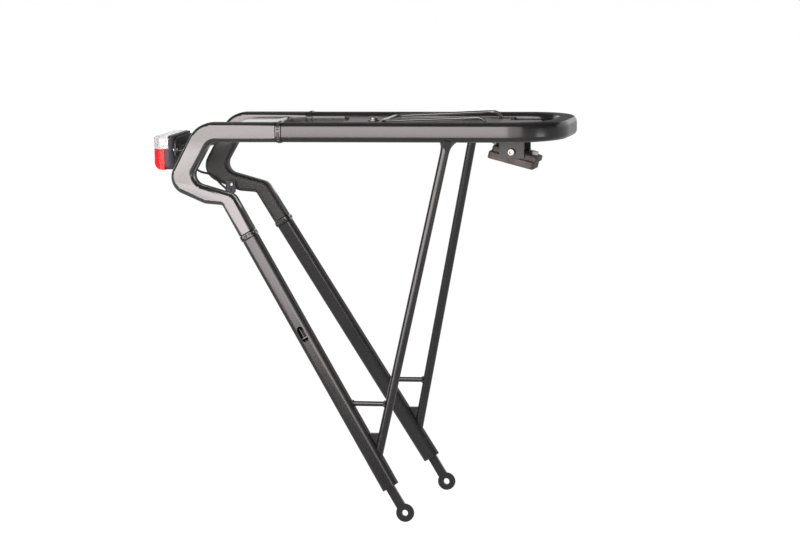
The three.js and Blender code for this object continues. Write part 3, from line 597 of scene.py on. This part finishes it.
# %% The tree for weld ripples
def ripple_tree():
    sizes = {
        "Pitch": ("Float", 1.4 * MM),
        "Radius": ("Float", 2.8 * MM),
        "Flatness": ("Float", 0.42),
        "Unevenness": ("Float", 0.12),
        "Seed": ("Int", 7),
        "Material": ("Material", None),
    }
    tree, given, result = new_tree("weld_ripples", sizes)
    curve = grow(tree, "GeometryNodeMeshToCurve", Mesh=given.outputs["Geometry"])
    points = grow(tree, "GeometryNodeCurveToPoints", {"mode": "LENGTH"},
                  Curve=curve.outputs["Curve"], Length=given.outputs["Pitch"])
    ball = grow(tree, "GeometryNodeMeshUVSphere", Segments=10, Rings=7,
                Radius=given.outputs["Radius"])
    low = grow(tree, "ShaderNodeMath", {"operation": "SUBTRACT"},
               in_0=1.0, in_1=given.outputs["Unevenness"])
    high = grow(tree, "ShaderNodeMath", {"operation": "ADD"},
                in_0=1.0, in_1=given.outputs["Unevenness"])
    # A Random Value node for plain numbers uses inputs 2 and 3 and output 1.
    size = grow(tree, "FunctionNodeRandomValue", {"data_type": "FLOAT"}, in_2=low.outputs[0],
                in_3=high.outputs[0], Seed=given.outputs["Seed"]).outputs[1]
    thin = grow(tree, "ShaderNodeMath", {"operation": "MULTIPLY"},
                in_0=size, in_1=given.outputs["Flatness"])
    scale = grow(tree, "ShaderNodeCombineXYZ", X=size, Y=size, Z=thin.outputs[0])
    placed = grow(tree, "GeometryNodeInstanceOnPoints", Points=points.outputs["Points"],
                  Instance=ball.outputs["Mesh"], Rotation=points.outputs["Rotation"],
                  Scale=scale.outputs["Vector"])
    real = grow(tree, "GeometryNodeRealizeInstances", Geometry=placed.outputs["Instances"])
    coated = grow(tree, "GeometryNodeSetMaterial", Geometry=real.outputs["Geometry"],
                  Material=given.outputs["Material"])
    tree.links.new(coated.outputs["Geometry"], result.inputs["Geometry"])
    return tree


RIPPLES = ripple_tree()
print("ripple tree nodes:", len(RIPPLES.nodes))


# %% Rings and seams
def rounded_square(centre, across, up, half, radius, steps=5):
    """Points of a rounded square around a centre, in the plane of two directions.

    half is its half width and radius that of its corners, in millimetres."""
    points = []
    for quarter in range(4):
        for step in range(steps + 1):
            angle = math.pi / 2 * (quarter + step / steps)
            corner = math.pi / 2 * quarter + math.pi / 4
            x = math.copysign(half - radius, math.cos(corner)) + radius * math.cos(angle)
            y = math.copysign(half - radius, math.sin(corner)) + radius * math.sin(angle)
            points.append(centre + across * (x * MM) + up * (y * MM))
    return points


def circle(centre, axis, radius, steps=24):
    """Points of a circle of a radius in millimetres about an axis."""
    axis = axis.normalized()
    first = axis.orthogonal().normalized()
    second = axis.cross(first)
    spokes = [2 * math.pi * step / steps for step in range(steps)]
    return [centre + (first * math.cos(a) + second * math.sin(a)) * (radius * MM) for a in spokes]


# %% Axes of the legs and struts
# Millimetres: a rail's distance from the middle plane, its height and its underside.
RAIL_HALF, RAIL_Z, RAIL_BOTTOM = 56.0, 330.6, 322.0
LEG_TOP = 285.0  # below this height the legs spread
SPLAY = 28.0 / LEG_TOP  # how far a leg runs out for each unit it falls


def spread(z):
    """Distance of a leg from the middle plane at a height, in millimetres."""
    return RAIL_HALF + SPLAY * max(0.0, LEG_TOP - z)


def leg_point(side, z):
    return mm(-LEG_LEAN * z, side * spread(z), z)


STRUT_LEAN, STRUT_TOP_X = 0.2229, 36.4  # a strut's lean and where it meets its rail
JOINT_Z = (STRUT_LEAN * RAIL_BOTTOM - STRUT_TOP_X) / (STRUT_LEAN + LEG_LEAN)


def strut_point(side, z):
    """A point on the axis of a strut, which meets its leg at the height JOINT_Z."""
    down = (RAIL_BOTTOM - z) / (RAIL_BOTTOM - JOINT_Z)
    y = RAIL_HALF + (spread(JOINT_Z) - RAIL_HALF) * down
    return mm(STRUT_TOP_X - STRUT_LEAN * (RAIL_BOTTOM - z), side * y, z)


print("struts meet the legs at", round(JOINT_Z, 1), "mm")

# %% Paths of the welds
RAIL_JOINT_X, RAIL_RING = -113, (6.7, 3.2)  # where a rail meets its bend, and the bead's size
LEG_JOINT_Z, LEG_RING = 240, (5.1, 2.2)  # where a leg meets its bend
ROD_Z, ROD_RING = 94.3, 2.0  # height of the pannier rods and radius of their welds
FROM_LEG, FROM_STRUT = 8.3 * MM, 4.1 * MM  # how far those welds sit from the tubes' axes
AXLE_X, AXLE_Z, AXLE_END, AXLE_RING = 61.7, 327.5, 46.8, 2.2  # the clamp's axle
SEAM_Y, SEAM_Z = 47.3, 333.2  # where the cross plates lie against the rails
PLATE_SPANS = ((-158, -131), (-78, -38), (47, 75))  # rear, middle and front plate, along X

Y, Z = Vector((0, 1, 0)), Vector((0, 0, 1))
tube_rings, rod_rings, seams = [], [], []
for side in SIDES.values():
    rail_joint, leg_joint = mm(RAIL_JOINT_X, side * RAIL_HALF, RAIL_Z), leg_point(side, LEG_JOINT_Z)
    slope = (leg_point(side, 0) - leg_joint).normalized()
    outward = (Y - slope * slope.dot(Y)).normalized()
    tube_rings.append((rounded_square(rail_joint, Y, Z, *RAIL_RING), True))
    tube_rings.append((rounded_square(leg_joint, outward, slope.cross(outward), *LEG_RING), True))
    on_leg, on_strut = leg_point(side, ROD_Z), strut_point(side, ROD_Z)
    rod = (on_strut - on_leg).normalized()
    rod_rings.append((circle(on_leg + rod * FROM_LEG, rod, ROD_RING), True))
    rod_rings.append((circle(on_strut - rod * FROM_STRUT, rod, ROD_RING), True))
    rod_rings.append((circle(mm(AXLE_X, side * AXLE_END, AXLE_Z), Y, AXLE_RING), True))
    for ends in PLATE_SPANS:
        seams.append(([mm(x, side * SEAM_Y, SEAM_Z) for x in ends], False))
print("rings:", len(tube_rings) + len(rod_rings), "seams:", len(seams))

# %% The welds
WELDS = {
    "tube": (tube_rings, {"Pitch": 1.5 * MM, "Radius": 2.9 * MM, "Flatness": 0.45}),
    "rod": (rod_rings, {"Pitch": 1.0 * MM, "Radius": 1.3 * MM, "Flatness": 0.5, "Seed": 3}),
    "plate": (seams, {"Pitch": 1.3 * MM, "Radius": 1.6 * MM, "Flatness": 0.5, "Seed": 11}),
}
for name, (paths, sizes) in WELDS.items():
    path_mesh = line_mesh(name + "_paths", paths)
    grown(name + "_welds", RIPPLES, path_mesh, sizes, "rack", WELD_BLACK, 60.0)

# %% [markdown]
# ## Fillet welds at the struts
# Where a round rod meets a tube, the welder builds up a collar that flares onto the tube. It is
# turned like a small trumpet, and waves in its radius show the passes of the weld.


# %% Flared collars
WAVES, WAVE_DEPTH, WAVE_TWIST = 11, 0.03, 0.8  # waves around, their share of the radius, twist


def collar(name, centre, axis, profile, turns=48):
    """A flared weld around an axis of length 1.

    profile lists (distance along the axis, radius) in millimetres."""
    first = axis.orthogonal().normalized()
    second = axis.cross(first)
    build = bmesh.new()
    rings = []
    for level, (distance, radius) in enumerate(profile):
        ring = []
        for step in range(turns):
            angle = 2 * math.pi * step / turns
            fade = WAVE_DEPTH * math.sin(math.pi * level / (len(profile) - 1))
            size = radius * (1 + fade * math.cos(WAVES * angle + level * WAVE_TWIST))
            spoke = first * math.cos(angle) + second * math.sin(angle)
            ring.append(build.verts.new(centre + axis * (distance * MM) + spoke * (size * MM)))
        rings.append(ring)
    for low, high in zip(rings, rings[1:]):
        for step in range(turns):
            after = (step + 1) % turns
            build.faces.new((low[step], low[after], high[after], high[step]))
    build.faces.new(rings[0])
    build.faces.new(rings[-1])
    bmesh.ops.recalc_face_normals(build, faces=build.faces)
    mesh = bpy.data.meshes.new(name)
    build.to_mesh(mesh)
    build.free()
    polish(mesh, 60.0)
    piece = bpy.data.objects.new(name, mesh)
    scene.collection.objects.link(piece)
    finish_piece(piece, "rack", WELD_BLACK)


def fillet(start, end, tall, levels=9):
    """A hollow flare from a wide radius to a narrow one."""
    steps = [level / (levels - 1) for level in range(levels)]
    return [(tall * t, end + (start - end) * (1 - t) ** 2.8) for t in steps]


FLARE = fillet(8.2, 4.03, 11.0)
SUNK = 1.2 * MM  # how far a collar starts inside its rail
for name, side in SIDES.items():
    top = strut_point(side, RAIL_BOTTOM)
    down = (strut_point(side, JOINT_Z) - top).normalized()
    collar(f"strut_weld_{name}", top - down * SUNK, down, FLARE)
print("strut collars:", len(SIDES), "of", len(FLARE), "rings each")

# %% [markdown]
# ## Inside the tail light
# The red lens hides a green board with small light emitting diodes, each in a white cup. Cups and
# diodes stand in two rows, so one kind of tree turns points into the finished parts.


# %% Diodes and cups
CUP_FLOOR = 0.4 * MM
CUP_X, DOME_X = -227.0, -226.4  # the cups stand on the board, the domes in the cups
ROW = [(y, z) for z in (304.5, 315.5) for y in (-18, -6, 6, 18)]


def row_tree(name, shape, sizes):
    """A tree that puts one small shape, turned to the rear, on every point of the start mesh."""
    tree, given, result = new_tree(name, dict(sizes, Material=("Material", None)))
    placed = grow(tree, "GeometryNodeInstanceOnPoints", Points=given.outputs["Geometry"],
                  Instance=shape(tree, given), Rotation=(0.0, math.radians(-90.0), 0.0))
    real = grow(tree, "GeometryNodeRealizeInstances", Geometry=placed.outputs["Instances"])
    coated = grow(tree, "GeometryNodeSetMaterial", Geometry=real.outputs["Geometry"],
                  Material=given.outputs["Material"])
    tree.links.new(coated.outputs["Geometry"], result.inputs["Geometry"])
    return tree


def cup_shape(tree, given):
    """An open cup: a cone with a smaller cone taken from it, down to the cup's floor."""
    outer = grow(tree, "GeometryNodeMeshCone", Vertices=24, Radius_Top=given.outputs["Mouth"],
                 Radius_Bottom=given.outputs["Base"], Depth=given.outputs["Depth"])
    inner = grow(tree, "GeometryNodeMeshCone", Vertices=24, Radius_Top=given.outputs["Inner Mouth"],
                 Radius_Bottom=given.outputs["Inner Base"], Depth=given.outputs["Inner Depth"])
    moved = grow(tree, "GeometryNodeTransform", Geometry=inner.outputs["Mesh"],
                 Translation=(0.0, 0.0, CUP_FLOOR))
    cup = grow(tree, "GeometryNodeMeshBoolean", {"operation": "DIFFERENCE"},
               Mesh_1=outer.outputs["Mesh"])
    tree.links.new(moved.outputs["Geometry"], cup.inputs["Mesh 2"])
    return cup.outputs["Mesh"]


def dome_shape(tree, given):
    ball = grow(tree, "GeometryNodeMeshUVSphere", Segments=14, Rings=8,
                Radius=given.outputs["Radius"])
    return ball.outputs["Mesh"]


CUPS = row_tree("reflector_cups", cup_shape, {
    "Mouth": ("Float", 4.6 * MM), "Base": ("Float", 2.6 * MM), "Depth": ("Float", 4.0 * MM),
    "Inner Mouth": ("Float", 4.2 * MM), "Inner Base": ("Float", 2.0 * MM),
    "Inner Depth": ("Float", 4.0 * MM),
})
DOMES = row_tree("diode_domes", dome_shape, {"Radius": ("Float", 1.5 * MM)})
cup_points = line_mesh("cup_points", [([mm(CUP_X, y, z)], False) for y, z in ROW])
dome_points = line_mesh("dome_points", [([mm(DOME_X, y, z)], False) for y, z in ROW])


def diode_resin():
    """Milky resin of a diode that isn't lit."""
    material, shader, flow = surface("diode_resin", {"Transmission Weight": 0.3, "IOR": 1.5})
    where = place_on_object(flow)
    milk = noise(flow, where, 900.0)
    base = milk.between((0.85, 0.8, 0.62, 1.0), (0.95, 0.93, 0.85, 1.0))
    connect(shader, Base_Color=base, Roughness=0.1 + milk * 0.1)
    return material


RESIN = diode_resin()
grown("reflector_cups", CUPS, cup_points, {}, "rack", WHITE_PLASTIC, 35.0)
grown("diodes", DOMES, dome_points, {}, "rack", RESIN, 60.0)

# %% [markdown]
# ## Clamp springs
# Each torsion spring is a helix around the axle with one straight leg on the front plate. A spiral
# primitive with a round profile draws the helix, and the leg is a short line swept the same way.


# %% The tree for a coil
SPRING_WIRE = 0.8 * MM  # radius of the springs' wire


def coil_tree():
    sizes = {
        "Turns": ("Float", 3.5),
        "Coil Radius": ("Float", 3.65 * MM),
        "Length": ("Float", 7.0 * MM),
        "Wire Radius": ("Float", SPRING_WIRE),
        "Leg": ("Float", 11.0 * MM),
        "Material": ("Material", None),
    }
    tree, given, result = new_tree("torsion_spring", sizes)
    radius = given.outputs["Coil Radius"]
    spiral = grow(tree, "GeometryNodeCurveSpiral", Resolution=28, Rotations=given.outputs["Turns"],
                  Start_Radius=radius, End_Radius=radius, Height=given.outputs["Length"])
    end = grow(tree, "ShaderNodeCombineXYZ", X=radius, Y=given.outputs["Leg"])
    start = grow(tree, "ShaderNodeCombineXYZ", X=radius, Y=0.0)
    leg = grow(tree, "GeometryNodeCurvePrimitiveLine", Start=start.outputs["Vector"],
               End=end.outputs["Vector"])
    both = grow(tree, "GeometryNodeJoinGeometry")
    tree.links.new(spiral.outputs["Curve"], both.inputs["Geometry"])
    tree.links.new(leg.outputs["Curve"], both.inputs["Geometry"])
    section = grow(tree, "GeometryNodeCurvePrimitiveCircle", Resolution=12,
                   Radius=given.outputs["Wire Radius"])
    swept = grow(tree, "GeometryNodeCurveToMesh", Curve=both.outputs["Geometry"],
                 Profile_Curve=section.outputs["Curve"], Fill_Caps=True)
    real = grow(tree, "GeometryNodeRealizeInstances", Geometry=swept.outputs["Mesh"])
    coated = grow(tree, "GeometryNodeSetMaterial", Geometry=real.outputs["Geometry"],
                  Material=given.outputs["Material"])
    tree.links.new(coated.outputs["Geometry"], result.inputs["Geometry"])
    return tree


COIL = coil_tree()
print("coil tree nodes:", len(COIL.nodes))

# %% The two springs
for name, side in SIDES.items():
    start = bpy.data.meshes.new("coil_start")
    spring = grown(f"coil_{name}", COIL, start, {}, "rack", ZINC, 60.0)
    low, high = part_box(f"clamp_spring_{name}")
    inner_end = low.y if side > 0 else high.y
    stand = Matrix((
        (0, -1, 0, AXLE_X * MM),
        (0, 0, side, inner_end + side * SPRING_WIRE),
        (1, 0, 0, AXLE_Z * MM),
        (0, 0, 0, 1),
    ))
    spring.data.transform(stand)
    if stand.determinant() < 0:
        spring.data.flip_normals()
    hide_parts(f"clamp_spring_{name}")
    print(f"clamp_spring_{name} is replaced by", spring.name)

# %% [markdown]
# ## Floor, background and light
# A plain pale floor runs far behind the rack to a plain pale backdrop. One large soft panel stands
# beside the rack, on the camera's side, where the flat sides of the tubes mirror it as a broad grey
# band. A dimmer panel next to it lets that band fade out around the front bow, and a low strip
# ahead of the rack lights the bow's lower edge. The panel overhead only lifts the shadows: it isn't
# mirrored. The world is white where it is seen and dim in a reflection.

# %% Floor
FLOOR_Z = -8.6 * MM
BACKDROP_Y, BACKDROP_HEIGHT, REACH = 8.0, 6.0, 20.0
WHITE = (1.0, 1.0, 1.0, 1.0)
SEEN_GLOW, SEEN_SHARE = 1.12, 0.86  # how bright a sheet is, and how much of that is its own glow


def flat_sheet(name, corners):
    """A four-cornered sheet of the stage."""
    mesh = bpy.data.meshes.new(name)
    mesh.from_pydata(corners, [], [(0, 1, 2, 3)])
    sheet = bpy.data.objects.new(name, mesh)
    scene.collection.objects.link(sheet)
    return sheet


floor = flat_sheet("floor", [
    (-REACH, -REACH, FLOOR_Z), (REACH, -REACH, FLOOR_Z),
    (REACH, BACKDROP_Y, FLOOR_Z), (-REACH, BACKDROP_Y, FLOOR_Z),
])
backdrop = flat_sheet("backdrop", [
    (-REACH, BACKDROP_Y, FLOOR_Z), (REACH, BACKDROP_Y, FLOOR_Z),
    (REACH, BACKDROP_Y, BACKDROP_HEIGHT), (-REACH, BACKDROP_Y, BACKDROP_HEIGHT),
])


def ray_kinds(flow):
    """Which rays see a thing, straight or through glass, and which mirror it."""
    rays = flow.node("LightPath").socket.node.outputs
    straight = Flow(flow.tree, rays["Is Camera Ray"])
    through = Flow(flow.tree, rays["Is Transmission Ray"])
    return flow.math("MAXIMUM", straight, through), Flow(flow.tree, rays["Is Glossy Ray"])


def pale_sheet(name, mirrored):
    """Pale matt sheet that reads as white when seen and still takes a soft shadow.

    mirrored is how bright it is in a reflection."""
    material = bpy.data.materials.new(name)
    material.use_nodes = True
    tree = material.node_tree
    tree.nodes.clear()
    flow = Flow(tree)
    seen, glossy = ray_kinds(flow)
    matt = flow.node("BsdfDiffuse", Color=(0.8, 0.8, 0.8, 1.0))
    glow = flow.node("Emission", Color=WHITE, Strength=SEEN_GLOW)
    image = flow.node("Emission", Color=WHITE, Strength=mirrored)
    direct = flow.node("MixShader", in_0=seen * SEEN_SHARE, in_1=matt, in_2=glow)
    both = flow.node("MixShader", in_0=glossy, in_1=direct, in_2=image)
    output = tree.nodes.new("ShaderNodeOutputMaterial")
    tree.links.new(both.socket, output.inputs["Surface"])
    return material


floor.data.materials.append(pale_sheet("floor_white", 0.55))
backdrop.data.materials.append(pale_sheet("backdrop_white", 1.0))
print("floor at", round(FLOOR_Z, 4), "m, backdrop at", BACKDROP_Y, "m")


# %% World
world = bpy.data.worlds.new("studio")
scene.world = world
world.use_nodes = True
world_tree = world.node_tree
world_tree.nodes.clear()
sky = Flow(world_tree)
seen, glossy = ray_kinds(sky)
strengths = {"lighting": 0.35, "mirrored": 0.12, "seen": 1.0}
lighting, mirrored, plain = (sky.node("Background", Color=WHITE, Strength=value)
                             for value in strengths.values())
unseen = sky.node("MixShader", in_0=glossy, in_1=lighting, in_2=mirrored)
mixed = sky.node("MixShader", in_0=seen, in_1=unseen, in_2=plain)
world_output = world_tree.nodes.new("ShaderNodeOutputWorld")
world_tree.links.new(mixed.socket, world_output.inputs["Surface"])
print("world:", strengths)


# %% Lamps
def panel(name, place, target, width, height, watts, colour):
    """A soft rectangular lamp that faces a target and isn't itself seen by the camera."""
    lamp = bpy.data.lights.new(name, "AREA")
    lamp.shape = "RECTANGLE"
    lamp.size, lamp.size_y = width, height
    lamp.energy = watts
    lamp.color = colour
    holder = bpy.data.objects.new(name, lamp)
    holder.location = place
    holder.rotation_euler = (Vector(target) - Vector(place)).to_track_quat("-Z", "Y").to_euler()
    holder.visible_camera = False
    scene.collection.objects.link(holder)
    return holder


WARM, COOL = (1.0, 0.925, 0.9), (0.94, 0.96, 1.0)
panel("front_panel", (-0.395, -0.72, 0.56), (-0.395, 0.0, 0.56), 0.91, 0.72, 13.0, WARM)
panel("panel_edge", (0.245, -0.72, 0.56), (0.245, 0.0, 0.56), 0.37, 0.72, 1.9, WARM)
panel("right_strip", (1.4, -0.6, 0.08), (0.1, 0.0, 0.33), 0.45, 0.15, 1.2, COOL)
overhead = panel("overhead", (0.0, 0.5, 1.7), (0.0, 0.0, 0.3), 1.0, 0.5, 4.0, COOL)
overhead.visible_glossy = False
print("lamps:", len(bpy.data.lights))

# %% [markdown]
# ## Last settings
# The Standard view shows a colour as it is written.

# %% Settings
scene.view_settings.view_transform = "Standard"
